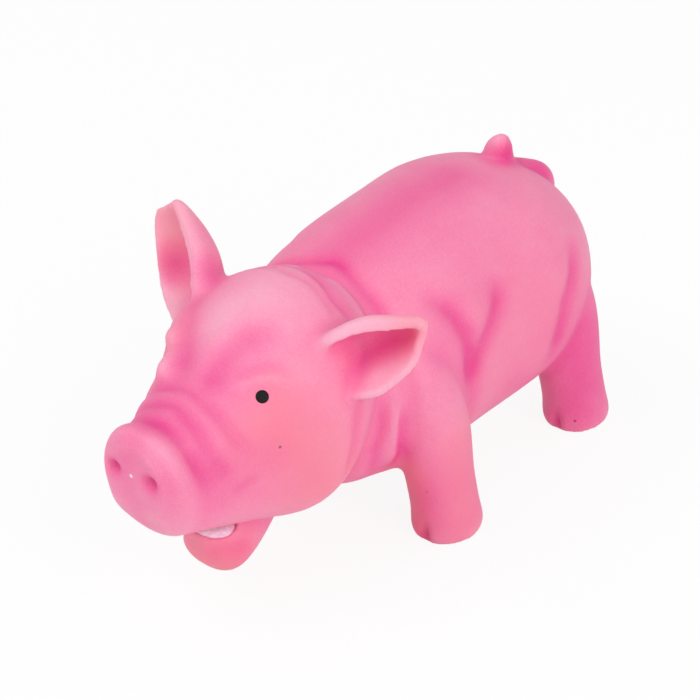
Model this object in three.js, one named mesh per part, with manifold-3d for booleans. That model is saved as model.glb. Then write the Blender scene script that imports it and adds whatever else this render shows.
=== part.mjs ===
// A squeaky latex pig, the pet toy that grunts when its back is pressed.
// The real skin is one hollow latex casting, stuffed with polyester wadding, with a reed sounder in the belly.
// Here the skin is divided where it flexes: at the ears, jaw, tail, legs and the pad of the back.
// Millimetres, +Z up. The pig faces -Y and its left side is +X. It stands on Z = 0.

import * as THREE from "three";
import { mergeVertices } from "three/addons/utils/BufferGeometryUtils.js";
import Module from "manifold-3d";

const wasm = await Module();
wasm.setup();

// Skin
const WALL = 2.4; // thickness of the latex
const SOLE = 3; // thickness of the latex under a foot
const CLEARANCE = 0.3; // gap between neighbouring pieces

// Torso, from the neck end to the rump
const TORSO_LENGTH = 143;
const TORSO_WIDTH = 85;
const TORSO_DEPTH = 86;
const BELLY_HEIGHT = 15.5; // lowest point of the belly above the floor

// Head, from the flat face of the snout to the back of the skull
const HEAD_LENGTH = 91;
const HEAD_WIDTH = 75.2;
const HEAD_DEPTH = 76;
const CHEEK_HEIGHT = 23.2; // underside of the cheeks above the floor
const NECK_OVERLAP = 24; // how far the skull reaches into the torso
const NOSTRIL_SPACING = 12;
const NOSTRIL_DIAMETER = 4;
const NOSTRIL_DEPTH = 1.4;

// Eyes: shallow discs of black paint in moulded pockets
const EYE_DIAMETER = 4.2;
const EYE_POCKET = 0.8;
const EYE_PROUD = 0.4;

// Ears, from the skull to the tip
const EAR_LENGTH = 31;
const EAR_WIDTH = 24.2;
const EAR_CUP = 9; // from the back of the ear to its widest section
const EAR_LIP = 2.8; // from the widest section to the rim
const EAR_WALL = 2.4;
const EAR_ROOT = 6; // how far the ear reaches into the skull
const EAR_FOLDS = -20; // degrees, backwards
const EAR_FLOPS = 30; // degrees, forwards

// Lower jaw and tongue
const JAW_LENGTH = 34;
const JAW_WIDTH = 25.2;
const JAW_DEPTH = 31;
const JAW_WALL = 3;
const CHIN_HEIGHT = 7.5; // lowest point of the chin above the floor
const JAW_SETBACK = 24; // from the face of the snout to the front of the chin
const JAW_CLOSES = -6; // degrees
const JAW_OPENS = 14; // degrees
const TONGUE_LENGTH = 18;
const TONGUE_WIDTH = 15;
const TONGUE_THICKNESS = 7;

// Legs
const FRONT_SPREAD = 75.5; // between the centres of the front feet
const HIND_SPREAD = 66; // between the centres of the hind feet
const FRONT_LEG_SETBACK = 41.2; // from the neck end of the torso
const HIND_LEG_INSET = 18.8; // from the rump
const FOOT_WIDTH = 21.4;
const FOOT_LENGTH = 24.4;
const LEG_ROOT = 40; // how far the leg reaches above the belly
const LEG_LEAN = 7; // how far the root lies inwards of the foot
const FRONT_LEG_RAKE = 8; // how far the root lies ahead of the foot
const HIND_LEG_RAKE = 11;
const CLEFT_WIDTH = 3;
const CLEFT_DEPTH = 4.5;
const CLEFT_HEIGHT = 9;
const HIP_RISE = 9; // from the belly's lowest point up to where a leg bends
const LEG_FLEX = 10; // degrees, both ways

// Tail
const TAIL_DIAMETER = 10.4;
const TAIL_WAG = 20; // degrees, both ways

// Pad of the back, which is pressed to make the pig grunt
const PAD_LENGTH = 84;
const PAD_WIDTH = 40;

// Sounder in the belly
const SEAT_RECESS = 3.4; // from the belly's lowest point up to the flat seat
const SEAT_THICKNESS = 3;
const SEAT_RIM = 3;
const FLANGE_DIAMETER = 26;
const FLANGE_THICKNESS = 2;
const HOLE_DIAMETER = 20;
const BEAD_HEIGHT = 1.2; // how far the bead stands over the edge of the hole
const BEAD_THICKNESS = 1.5;
const BARREL_DIAMETER = 18;
const BARREL_LENGTH = 22; // above the seat
const BARREL_WALL = 1.5;
const OUTLET_DIAMETER = 8;
const CAP_THICKNESS = 1.5;
const CAP_SKIRT_LENGTH = 4;
const CAP_SKIRT_WALL = 1.2;
const CAP_HOLES = 5;
const CAP_HOLE_DIAMETER = 2.4;
const CAP_HOLE_CIRCLE = 7;
const FILTER_THICKNESS = 2;
const BLOCK_LENGTH = 14;
const BLOCK_FOOT = 2.5;
const CHANNEL_WIDTH = 3.6;
const CHANNEL_DEPTH = 2.6;
const CHANNEL_STOP = 4; // solid block above the channel
const REED_WIDTH = 5;
const REED_THICKNESS = 0.4;
const REED_LENGTH = 12;
const REED_SET = 4; // degrees that the reed stands off its block
const REED_SWING = 0.6; // room in the clip for the reed to move
const CLIP_HEIGHT = 3;
const CLIP_CHEEK = 1.6; // on each side of the reed
const CLIP_BRIDGE = 1.2; // in front of the reed

// Where things lie, worked out from the sizes
const OVERALL_LENGTH = TORSO_LENGTH + HEAD_LENGTH - NECK_OVERLAP;
const SNOUT_Y = -OVERALL_LENGTH / 2;
const RUMP_Y = OVERALL_LENGTH / 2;
const NECK_Y = RUMP_Y - TORSO_LENGTH;
const BACK_HEIGHT = BELLY_HEIGHT + TORSO_DEPTH;
const LEFT = 1;
const RIGHT = -1;
const SIDEWAYS = new THREE.Vector3(1, 0, 0);
const LENGTHWAYS = new THREE.Vector3(0, 1, 0);
const UPWARDS = new THREE.Vector3(0, 0, 1);

// Finishes
const latex = new THREE.MeshStandardMaterial({ color: "#f585ab", roughness: 0.55 });
const tonguePink = new THREE.MeshStandardMaterial({ color: "#f3b4cb", roughness: 0.45 });
const blackPaint = new THREE.MeshStandardMaterial({ color: "#1c1a1c", roughness: 0.4 });
const polyester = new THREE.MeshStandardMaterial({ color: "#f2f0ea", roughness: 1 });
const whitePlastic = new THREE.MeshStandardMaterial({ color: "#ebe9e2", roughness: 0.4 });
const reedFilm = new THREE.MeshStandardMaterial({ color: "#d9b36a", roughness: 0.3 });
const feltGrey = new THREE.MeshStandardMaterial({ color: "#cfcac0", roughness: 1 });

// Solids, meshes and placing

function solidOf(geometry) {
  const bare = geometry.clone();
  bare.deleteAttribute("normal");
  bare.deleteAttribute("uv");
  const merged = mergeVertices(bare, 1e-4);
  const points = merged.attributes.position;
  const corners = [new THREE.Vector3(), new THREE.Vector3(), new THREE.Vector3()];
  const triangles = Array.from(merged.index.array);
  let sixfoldVolume = 0;
  for (let first = 0; first < triangles.length; first += 3) {
    corners.forEach((corner, turn) => corner.fromBufferAttribute(points, triangles[first + turn]));
    sixfoldVolume += corners[0].dot(corners[1].clone().cross(corners[2]));
  }
  if (sixfoldVolume < 0) {
    triangles.reverse();
  }
  const mesh = new wasm.Mesh({
    numProp: 3,
    vertProperties: new Float32Array(points.array),
    triVerts: new Uint32Array(triangles),
  });
  return new wasm.Manifold(mesh);
}

function geometryOf(solid) {
  const { vertProperties, triVerts } = solid.getMesh();
  const geometry = new THREE.BufferGeometry();
  geometry.setAttribute("position", new THREE.BufferAttribute(vertProperties, 3));
  geometry.setIndex(new THREE.BufferAttribute(triVerts, 1));
  geometry.computeVertexNormals();
  return geometry;
}

const pig = new THREE.Group();

function place(name, solid, material) {
  const mesh = new THREE.Mesh(geometryOf(solid), material);
  mesh.name = name;
  pig.add(mesh);
}

// Rings of equally many points become one closed body, with a fan over each end.
function bodyOfRings(rings) {
  const sides = rings[0].length;
  const points = rings.flat();
  const faces = [];
  for (let ring = 0; ring + 1 < rings.length; ring++) {
    for (let side = 0; side < sides; side++) {
      const here = ring * sides + side;
      const next = ring * sides + ((side + 1) % sides);
      faces.push(here, next, next + sides, here, next + sides, here + sides);
    }
  }
  [0, rings.length - 1].forEach((ring) => {
    const middle = new THREE.Vector3();
    rings[ring].forEach((point) => middle.addScaledVector(point, 1 / sides));
    points.push(middle);
    for (let side = 0; side < sides; side++) {
      const fan = [ring * sides + side, ring * sides + ((side + 1) % sides), points.length - 1];
      faces.push(...(ring ? fan : fan.reverse()));
    }
  });
  const geometry = new THREE.BufferGeometry().setFromPoints(points);
  geometry.setIndex(faces);
  return solidOf(geometry);
}

// An ellipse, or with a fullness over 2 an oval that bulges towards its corners.
function oval(centre, across, along, halfAcross, halfAlong, sides, fullness = 2) {
  const swell = (value) => Math.sign(value) * Math.abs(value) ** (2 / fullness);
  return Array.from({ length: sides }, (_, side) => {
    const angle = (2 * Math.PI * side) / sides;
    return centre
      .clone()
      .addScaledVector(across, halfAcross * swell(Math.cos(angle)))
      .addScaledVector(along, halfAlong * swell(Math.sin(angle)));
  });
}

// Even steps from 0 to 1, one for each ring of a body.
function shares(rings) {
  return Array.from({ length: rings }, (_, ring) => ring / (rings - 1));
}

// A smooth curve through one measure of a form's stations: x is where it lies, y is the measure.
function through(stations, key) {
  return new THREE.SplineCurve(stations.map((station) => new THREE.Vector2(station.at, station[key])));
}

// The parameter of such a curve where it passes a share of the form's length.
function parameterAt(stations, share) {
  const before = stations.findLastIndex((station) => station.at <= share);
  const step = (share - stations[before].at) / (stations[before + 1].at - stations[before].at);
  return (before + step) / (stations.length - 1);
}

// Torso, head and jaw are lofts along Y. A station gives, as shares of the form's own sizes, where it lies,
// its half width, its lowest point and its highest point.
function sectionOf(form, parameter, inset) {
  const side = through(form.stations, "side").getPoint(parameter);
  const low = form.base + form.depth * through(form.stations, "low").getPoint(parameter).y + inset;
  const high = form.base + form.depth * through(form.stations, "high").getPoint(parameter).y - inset;
  return {
    centre: new THREE.Vector3(0, form.start + inset + side.x * (form.length - 2 * inset), (low + high) / 2),
    halfWidth: (form.width / 2) * side.y - inset,
    halfHeight: (high - low) / 2,
  };
}

function loftOf(form, inset = 0) {
  const rings = shares(form.rings).map((parameter) => {
    const { centre, halfWidth, halfHeight } = sectionOf(form, parameter, inset);
    return oval(centre, SIDEWAYS, UPWARDS, halfWidth, halfHeight, form.sides, form.fullness);
  });
  return bodyOfRings(rings);
}

// A point of a loft's left side and the direction that it faces, at an angle up from the middle.
function surfaceOf(form, share, degrees) {
  const nudge = 0.02;
  const pointAt = (where, angle) => {
    const { centre, halfWidth, halfHeight } = sectionOf(form, parameterAt(form.stations, where), 0);
    return centre.add(new THREE.Vector3(halfWidth * Math.cos(angle), 0, halfHeight * Math.sin(angle)));
  };
  const angle = THREE.MathUtils.degToRad(degrees);
  const lengthwise = pointAt(share + nudge, angle).sub(pointAt(share - nudge, angle));
  const around = pointAt(share, angle + nudge).sub(pointAt(share, angle - nudge));
  return { point: pointAt(share, angle), normal: lengthwise.cross(around).normalize() };
}

function mirrored(vector, side) {
  return vector.clone().multiply(new THREE.Vector3(side, 1, 1));
}

// A piece that bends at a hinge is cut back from its neighbour at every angle that it reaches.
const SWEEP_STEP = 12; // degrees

function turned(solid, hinge, degrees) {
  const geometry = geometryOf(solid);
  geometry.translate(...hinge.point.clone().negate());
  geometry.applyMatrix4(new THREE.Matrix4().makeRotationAxis(hinge.axis, THREE.MathUtils.degToRad(degrees)));
  geometry.translate(...hinge.point);
  return solidOf(geometry);
}

function clearOf(piece, neighbour, hinge, low, high) {
  const steps = Math.ceil((high - low) / SWEEP_STEP);
  let cut = piece;
  for (let step = 0; step <= steps; step++) {
    const degrees = low + ((high - low) * step) / steps;
    cut = cut.subtract(turned(neighbour, hinge, -degrees));
  }
  return cut;
}

// Torso and head forms

const torsoForm = {
  start: NECK_Y,
  length: TORSO_LENGTH,
  width: TORSO_WIDTH,
  base: BELLY_HEIGHT,
  depth: TORSO_DEPTH,
  rings: 13,
  sides: 24,
  fullness: 2.3,
  stations: [
    { at: 0, side: 0.16, low: 0.37, high: 0.6 },
    { at: 0.04, side: 0.59, low: 0.135, high: 0.755 },
    { at: 0.14, side: 0.82, low: 0.02, high: 0.87 },
    { at: 0.3, side: 0.93, low: 0, high: 0.96 },
    { at: 0.51, side: 0.94, low: 0, high: 1 },
    { at: 0.7, side: 1, low: 0, high: 0.985 },
    { at: 0.85, side: 0.85, low: 0.05, high: 0.905 },
    { at: 0.953, side: 0.6, low: 0.19, high: 0.77 },
    { at: 1, side: 0.18, low: 0.41, high: 0.6 },
  ],
};

const headForm = {
  start: SNOUT_Y,
  length: HEAD_LENGTH,
  width: HEAD_WIDTH,
  base: CHEEK_HEIGHT,
  depth: HEAD_DEPTH,
  rings: 15,
  sides: 24,
  fullness: 2.05,
  stations: [
    { at: 0, side: 0.305, low: 0.31, high: 0.625 },
    { at: 0.035, side: 0.415, low: 0.23, high: 0.68 },
    { at: 0.08, side: 0.47, low: 0.17, high: 0.675 },
    { at: 0.13, side: 0.475, low: 0.145, high: 0.665 },
    { at: 0.21, side: 0.545, low: 0.11, high: 0.7 },
    { at: 0.41, side: 0.745, low: 0.055, high: 0.81 },
    { at: 0.615, side: 1, low: 0, high: 0.96 },
    { at: 0.785, side: 0.93, low: 0.12, high: 1 },
    { at: 0.935, side: 0.66, low: 0.26, high: 0.92 },
    { at: 1, side: 0.265, low: 0.46, high: 0.73 },
  ],
};

// Tail: a thick curl, moulded in relief on the rump, that ends in an upturned tip.
// Each point is its distance to the left, ahead of the rump and below the top of the back.

function tailPoint([left, ahead, below]) {
  return new THREE.Vector3(left, RUMP_Y - ahead, BACK_HEIGHT - below);
}

const curlPath = [[0, 8.5, 31], [4.5, 6.5, 24], [6, 11, 17], [4, 17, 13], [0.5, 22.5, 11]].map(tailPoint);
const tipPath = [[0.5, 24, 14], [0, 25, 8], [-0.5, 26, 2.5], [0, 27, -5]].map(tailPoint);
const curlStations = [{ at: 0, thick: 0.9 }, { at: 0.5, thick: 1 }, { at: 1, thick: 0.9 }];
const tipStations = [
  { at: 0, thick: 0.9 },
  { at: 0.4, thick: 1 },
  { at: 0.7, thick: 0.94 },
  { at: 0.92, thick: 0.68 },
  { at: 1, thick: 0.3 },
];
const tailForm = { rings: 9, sides: 14 };

function tailHose(path, stations, growth) {
  const curve = new THREE.CatmullRomCurve3(path);
  const { normals, binormals } = curve.computeFrenetFrames(tailForm.rings - 1);
  const rings = shares(tailForm.rings).map((share, ring) => {
    const radius = (TAIL_DIAMETER / 2) * through(stations, "thick").getPoint(share).y + growth;
    return oval(curve.getPointAt(share), normals[ring], binormals[ring], radius, radius, tailForm.sides);
  });
  return bodyOfRings(rings);
}

const torsoOuter = loftOf(torsoForm).add(tailHose(curlPath, curlStations, 0));
const torsoGrown = loftOf(torsoForm, -CLEARANCE).add(tailHose(curlPath, curlStations, CLEARANCE));
const headGrown = loftOf(headForm, -CLEARANCE);
const headHollow = loftOf(headForm, WALL);

// Legs: hollow columns from a cloven foot to a root inside the torso, swelling towards the root.

const legForm = {
  rings: 8,
  sides: 16,
  stations: [
    { at: 0, wide: 0.97, long: 0.97, lean: 0 },
    { at: 0.06, wide: 1.05, long: 1.06, lean: 0.02 },
    { at: 0.2, wide: 1, long: 1, lean: 0.12 },
    { at: 0.42, wide: 0.96, long: 0.975, lean: 0.32 },
    { at: 0.7, wide: 1.1, long: 1.1, lean: 0.55 },
    { at: 1, wide: 0.95, long: 0.9, lean: 1 },
  ],
};

const frontLeg = { y: NECK_Y + FRONT_LEG_SETBACK, spread: FRONT_SPREAD, rake: FRONT_LEG_RAKE };
const hindLeg = { y: RUMP_Y - HIND_LEG_INSET, spread: HIND_SPREAD, rake: HIND_LEG_RAKE };
const legs = [
  { name: "front_left_leg", side: LEFT, ...frontLeg },
  { name: "front_right_leg", side: RIGHT, ...frontLeg },
  { name: "hind_left_leg", side: LEFT, ...hindLeg },
  { name: "hind_right_leg", side: RIGHT, ...hindLeg },
];

function legColumn(leg, inset, sole) {
  const height = BELLY_HEIGHT + LEG_ROOT - sole;
  const rings = shares(legForm.rings).map((share) => {
    const wide = through(legForm.stations, "wide").getPoint(share);
    const long = through(legForm.stations, "long").getPoint(share).y;
    const lean = through(legForm.stations, "lean").getPoint(share).y;
    const x = leg.side * (leg.spread / 2 - lean * LEG_LEAN);
    const centre = new THREE.Vector3(x, leg.y - lean * leg.rake, sole + wide.x * height);
    const halfWidth = (FOOT_WIDTH / 2) * wide.y - inset;
    const halfLength = (FOOT_LENGTH / 2) * long - inset;
    return oval(centre, SIDEWAYS, LENGTHWAYS, halfWidth, halfLength, legForm.sides);
  });
  return bodyOfRings(rings);
}

function toeCleft(leg) {
  const notch = new THREE.Shape();
  notch.moveTo(0, CLEFT_DEPTH);
  notch.lineTo(CLEFT_WIDTH / 2, -CLEFT_WIDTH);
  notch.lineTo(-CLEFT_WIDTH / 2, -CLEFT_WIDTH);
  const geometry = new THREE.ExtrudeGeometry(notch, { depth: CLEFT_HEIGHT + SOLE, bevelEnabled: false });
  const toe = leg.y - FOOT_LENGTH / 2;
  return solidOf(geometry.translate((leg.side * leg.spread) / 2, toe, -SOLE));
}

for (const leg of legs) {
  const hip = new THREE.Vector3((leg.side * leg.spread) / 2, leg.y, BELLY_HEIGHT + HIP_RISE);
  leg.hollow = legColumn(leg, WALL, SOLE);
  const column = legColumn(leg, 0, 0).subtract(leg.hollow).subtract(toeCleft(leg));
  place(leg.name, clearOf(column, torsoGrown, { point: hip, axis: SIDEWAYS }, -LEG_FLEX, LEG_FLEX), latex);
}

// Torso skin: hollow, open to the head and the legs, with a flat seat for the sounder in the belly
// and an oval opening in the back for the pad.

const MIDDLE_SHARE = 0.51; // along the torso, where the belly is lowest and the back highest
const middleY = NECK_Y + MIDDLE_SHARE * TORSO_LENGTH;
const seatLow = BELLY_HEIGHT + SEAT_RECESS;
const seatHigh = seatLow + SEAT_THICKNESS;

function cylinder(diameter, low, high, sides = 24) {
  const geometry = new THREE.CylinderGeometry(diameter / 2, diameter / 2, high - low, sides);
  return geometry.rotateX(Math.PI / 2).translate(0, 0, (low + high) / 2);
}

function atMiddle(geometry) {
  return solidOf(geometry.translate(0, middleY, 0));
}

function padPrism(margin) {
  const outline = new THREE.Shape();
  outline.absellipse(0, 0, PAD_WIDTH / 2 + margin, PAD_LENGTH / 2 + margin, 0, 2 * Math.PI);
  const prism = { depth: TORSO_DEPTH, bevelEnabled: false, curveSegments: 20 };
  return atMiddle(new THREE.ExtrudeGeometry(outline, prism).translate(0, 0, BACK_HEIGHT - TORSO_DEPTH / 2));
}

const seatDisc = atMiddle(cylinder(FLANGE_DIAMETER + 2 * SEAT_RIM, 0, seatHigh)).intersect(torsoOuter);
const seatRecess = atMiddle(cylinder(FLANGE_DIAMETER + 2 * CLEARANCE, 0, seatLow));
const seatHole = atMiddle(cylinder(HOLE_DIAMETER, 0, seatHigh + WALL));
let torsoShell = torsoOuter.subtract(loftOf(torsoForm, WALL)).add(seatDisc);
for (const cut of [seatRecess, seatHole, headHollow, ...legs.map((leg) => leg.hollow)]) {
  torsoShell = torsoShell.subtract(cut);
}
place("torso_skin", torsoShell.subtract(padPrism(CLEARANCE)), latex);
place("back_pad", torsoShell.intersect(padPrism(0)), latex);

// Head skin: hollow, open to the torso at the neck, with nostrils and pockets for the eyes.

const EYE_SHARE = 0.413; // along the head
const EYE_ANGLE = 48; // degrees up from the middle of the side
const SMALL_SIDES = 16;
const snoutHeight = sectionOf(headForm, 0, 0).centre.z;

function eyeDisc(side, diameter, low, high) {
  const { point, normal } = surfaceOf(headForm, EYE_SHARE, EYE_ANGLE);
  const facing = new THREE.Quaternion().setFromUnitVectors(UPWARDS, mirrored(normal, side));
  const disc = cylinder(diameter, low, high, SMALL_SIDES).applyQuaternion(facing);
  return solidOf(disc.translate(...mirrored(point, side)));
}

function nostril(side) {
  const pit = cylinder(NOSTRIL_DIAMETER, -NOSTRIL_DEPTH, NOSTRIL_DEPTH, SMALL_SIDES).rotateX(Math.PI / 2);
  return solidOf(pit.translate((side * NOSTRIL_SPACING) / 2, SNOUT_Y, snoutHeight));
}

let headShell = loftOf(headForm).subtract(headHollow).subtract(torsoGrown);
for (const side of [LEFT, RIGHT]) {
  headShell = headShell.subtract(eyeDisc(side, EYE_DIAMETER + 2 * CLEARANCE, -EYE_POCKET, WALL));
  headShell = headShell.subtract(nostril(side));
}
place("head_skin", headShell, latex);
place("left_eye", eyeDisc(LEFT, EYE_DIAMETER, CLEARANCE - EYE_POCKET, EYE_PROUD), blackPaint);
place("right_eye", eyeDisc(RIGHT, EYE_DIAMETER, CLEARANCE - EYE_POCKET, EYE_PROUD), blackPaint);

// Ears: deep leaf-shaped cups on the skull, open towards the front and a little outwards.

const EAR_SHARE = 0.68; // along the head
const EAR_ANGLE = 31.5; // degrees up from the middle of the side
const EAR_POINTS = new THREE.Vector3(0.7, 0.357, 0.62);
const EAR_FACES = new THREE.Vector3(0.2, -0.925, 0.31);
const earForm = {
  rings: 8,
  sides: 16,
  stations: [
    { at: 0, wide: 0.7, deep: 0.7, lift: 0 },
    { at: 0.22, wide: 0.88, deep: 0.95, lift: 0 },
    { at: 0.5, wide: 1, deep: 1, lift: 0.01 },
    { at: 0.75, wide: 0.9, deep: 0.85, lift: 0.03 },
    { at: 0.93, wide: 0.64, deep: 0.6, lift: 0.07 },
    { at: 1, wide: 0.32, deep: 0.36, lift: 0.1 },
  ],
};

function earFrame(side) {
  const root = mirrored(surfaceOf(headForm, EAR_SHARE, EAR_ANGLE).point, side);
  const axis = mirrored(EAR_POINTS, side).normalize();
  const facing = mirrored(EAR_FACES, side);
  facing.addScaledVector(axis, -facing.dot(axis)).normalize();
  const across = facing.clone().cross(axis);
  return { root, axis, facing, across, inwards: across.clone().multiplyScalar(side) };
}

function earLeaf(frame, inset) {
  const rings = shares(earForm.rings).map((share) => {
    const wide = through(earForm.stations, "wide").getPoint(share);
    const deep = through(earForm.stations, "deep").getPoint(share).y;
    const lift = EAR_WIDTH * through(earForm.stations, "lift").getPoint(share).y;
    const reach = wide.x * (EAR_LENGTH + EAR_ROOT - inset) - EAR_ROOT;
    const centre = frame.root.clone().addScaledVector(frame.axis, reach).addScaledVector(frame.inwards, lift);
    const halfWidth = (EAR_WIDTH / 2) * wide.y - inset;
    return oval(centre, frame.across, frame.facing, halfWidth, EAR_CUP * deep - inset, earForm.sides);
  });
  return bodyOfRings(rings);
}

// Everything in front of the rim, in one block.
function earFront(frame) {
  const reach = EAR_LENGTH + EAR_ROOT;
  const block = new THREE.BoxGeometry(2 * EAR_WIDTH, 4 * reach, 2 * EAR_CUP);
  block.translate(0, 0, EAR_CUP + EAR_LIP);
  block.applyMatrix4(new THREE.Matrix4().makeBasis(frame.across, frame.axis, frame.facing));
  return solidOf(block.translate(...frame.root));
}

function ear(side) {
  const frame = earFrame(side);
  const hinge = { point: frame.root, axis: frame.across.clone().negate() };
  const cup = earLeaf(frame, 0).subtract(earLeaf(frame, EAR_WALL)).subtract(earFront(frame));
  return clearOf(cup, headGrown, hinge, EAR_FOLDS, EAR_FLOPS);
}

place("left_ear", ear(LEFT), latex);
place("right_ear", ear(RIGHT), latex);

// Lower jaw: a scoop that hangs open under the snout, with the tongue lying in it.

const jawForm = {
  start: SNOUT_Y + JAW_SETBACK,
  length: JAW_LENGTH,
  width: JAW_WIDTH,
  base: CHIN_HEIGHT,
  depth: JAW_DEPTH,
  rings: 8,
  sides: 16,
  fullness: 2,
  stations: [
    { at: 0, side: 0.34, low: 0.4, high: 0.62 },
    { at: 0.1, side: 0.74, low: 0.16, high: 0.72 },
    { at: 0.36, side: 1, low: 0, high: 0.82 },
    { at: 0.72, side: 0.97, low: 0.15, high: 1 },
    { at: 1, side: 0.75, low: 0.47, high: 1.1 },
  ],
};
const JAW_HINGE_SHARE = 0.86; // along the jaw
const MOUTH_SHARE = 0.36; // of the jaw's depth, from the chin up to the floor of the mouth
const mouthForm = { ...jawForm, base: CHIN_HEIGHT + MOUTH_SHARE * JAW_DEPTH };
const jawHinge = {
  point: new THREE.Vector3(0, jawForm.start + JAW_HINGE_SHARE * JAW_LENGTH, CHIN_HEIGHT + JAW_DEPTH),
  axis: SIDEWAYS,
};

function clearOfHead(solid) {
  return clearOf(solid, headGrown, jawHinge, JAW_CLOSES, JAW_OPENS);
}

const TONGUE_SHARE = 0.36; // along the jaw
const mouthFloor = sectionOf(mouthForm, parameterAt(mouthForm.stations, TONGUE_SHARE), JAW_WALL);
const tongueSphere = new THREE.SphereGeometry(0.5, SMALL_SIDES, SMALL_SIDES / 2);
tongueSphere.rotateX(Math.PI / 2).scale(TONGUE_WIDTH, TONGUE_LENGTH, TONGUE_THICKNESS);
tongueSphere.translate(0, mouthFloor.centre.y, mouthFloor.centre.z - mouthFloor.halfHeight + TONGUE_THICKNESS / 4);
const tongueBody = solidOf(tongueSphere).intersect(loftOf(mouthForm, JAW_WALL + CLEARANCE));
place("lower_jaw", clearOfHead(loftOf(jawForm).subtract(loftOf(mouthForm, JAW_WALL))), latex);
place("tongue", clearOfHead(tongueBody), tonguePink);

// Tail tip: the free end of the curl, which stands up from the rump and wags.

const tailHinge = { point: tailPoint([0, 25.5, 6]), axis: LENGTHWAYS };
place("tail", clearOf(tailHose(tipPath, tipStations, 0), torsoGrown, tailHinge, -TAIL_WAG, TAIL_WAG), latex);

// Sounder: a plastic barrel clipped through the belly, with a reed on a block, a felt filter and a vented cap.

const flangeHigh = seatLow - CLEARANCE;
const flangeLow = flangeHigh - FLANGE_THICKNESS;
const beadLow = seatHigh + CLEARANCE;
const beadHigh = beadLow + BEAD_THICKNESS;
const barrelFloor = seatLow;
const barrelTop = seatHigh + BARREL_LENGTH;
const boreDiameter = BARREL_DIAMETER - 2 * BARREL_WALL;
const plugDiameter = boreDiameter - 2 * CLEARANCE;

function lathe(outline, sides = 24) {
  const profile = outline.map(([diameter, height]) => new THREE.Vector2(diameter / 2, height));
  return new THREE.LatheGeometry([...profile, profile[0]], sides).rotateX(Math.PI / 2);
}

function boxBetween(low, high) {
  const size = high.map((top, axis) => top - low[axis]);
  return new THREE.BoxGeometry(...size).translate(...high.map((top, axis) => (top + low[axis]) / 2));
}

const housing = lathe([
  [OUTLET_DIAMETER, flangeLow],
  [FLANGE_DIAMETER, flangeLow],
  [FLANGE_DIAMETER, flangeHigh],
  [HOLE_DIAMETER - 2 * CLEARANCE, flangeHigh],
  [HOLE_DIAMETER - 2 * CLEARANCE, beadLow],
  [HOLE_DIAMETER + 2 * BEAD_HEIGHT, beadLow],
  [HOLE_DIAMETER + 2 * BEAD_HEIGHT, beadHigh],
  [BARREL_DIAMETER, beadHigh],
  [BARREL_DIAMETER, barrelTop],
  [boreDiameter, barrelTop],
  [boreDiameter, barrelFloor],
  [OUTLET_DIAMETER, barrelFloor],
]);
place("sounder_barrel", atMiddle(housing), whitePlastic);

const capLow = barrelTop + CLEARANCE;
const capHigh = capLow + CAP_THICKNESS;
const skirtLow = capLow - CAP_SKIRT_LENGTH;
const skirtBore = plugDiameter - 2 * CAP_SKIRT_WALL;
const skirt = lathe([
  [skirtBore, skirtLow],
  [plugDiameter, skirtLow],
  [plugDiameter, capHigh],
  [skirtBore, capHigh],
]);
let cap = atMiddle(cylinder(BARREL_DIAMETER, capLow, capHigh)).add(atMiddle(skirt));
for (let hole = 0; hole < CAP_HOLES; hole++) {
  const angle = (2 * Math.PI * hole) / CAP_HOLES;
  const vent = cylinder(CAP_HOLE_DIAMETER, capLow - CAP_THICKNESS, capHigh + CAP_THICKNESS, SMALL_SIDES);
  vent.translate((CAP_HOLE_CIRCLE / 2) * Math.cos(angle), (CAP_HOLE_CIRCLE / 2) * Math.sin(angle), 0);
  cap = cap.subtract(atMiddle(vent));
}
place("sounder_cap", cap, whitePlastic);

const filterHigh = capLow - CLEARANCE;
const filterDisc = cylinder(skirtBore - 2 * CLEARANCE, filterHigh - FILTER_THICKNESS, filterHigh);
place("felt_filter", atMiddle(filterDisc), feltGrey);

const blockLow = barrelFloor + CLEARANCE;
const footHigh = blockLow + BLOCK_FOOT;
const blockHigh = footHigh + BLOCK_LENGTH;
const behindFace = boxBetween([-BARREL_DIAMETER, 0, blockLow], [BARREL_DIAMETER, BARREL_DIAMETER, blockHigh]);
const channel = boxBetween(
  [-CHANNEL_WIDTH / 2, -CLEARANCE, barrelFloor],
  [CHANNEL_WIDTH / 2, CHANNEL_DEPTH, blockHigh - CHANNEL_STOP],
);
const reedBlock = atMiddle(cylinder(plugDiameter, blockLow, blockHigh))
  .intersect(atMiddle(behindFace))
  .add(atMiddle(cylinder(plugDiameter, blockLow, footHigh)))
  .subtract(atMiddle(channel));
place("reed_block", reedBlock, whitePlastic);

const reedBack = -CLEARANCE;
const reedFront = reedBack - REED_THICKNESS;
const reedHigh = blockHigh - CLEARANCE;
const reedStrip = boxBetween(
  [-REED_WIDTH / 2, reedFront, reedHigh - REED_LENGTH],
  [REED_WIDTH / 2, reedBack, reedHigh],
);
const reedHinge = { point: new THREE.Vector3(0, middleY + reedBack, reedHigh), axis: SIDEWAYS };
place("reed", turned(atMiddle(reedStrip), reedHinge, -REED_SET), reedFilm);

const clipHalf = REED_WIDTH / 2 + CLEARANCE + CLIP_CHEEK;
const slotFront = reedFront - CLEARANCE - REED_SWING;
const clipBody = boxBetween(
  [-clipHalf, slotFront - CLIP_BRIDGE, blockHigh - CLIP_HEIGHT],
  [clipHalf, reedBack, blockHigh],
);
const clipSlot = boxBetween(
  [-REED_WIDTH / 2 - CLEARANCE, slotFront, blockHigh - 2 * CLIP_HEIGHT],
  [REED_WIDTH / 2 + CLEARANCE, CLEARANCE, blockHigh + CLIP_HEIGHT],
);
place("reed_clip", atMiddle(clipBody).subtract(atMiddle(clipSlot)), whitePlastic);

// Wadding: loose polyester fibre that fills the torso round the sounder, and the skull.

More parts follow.
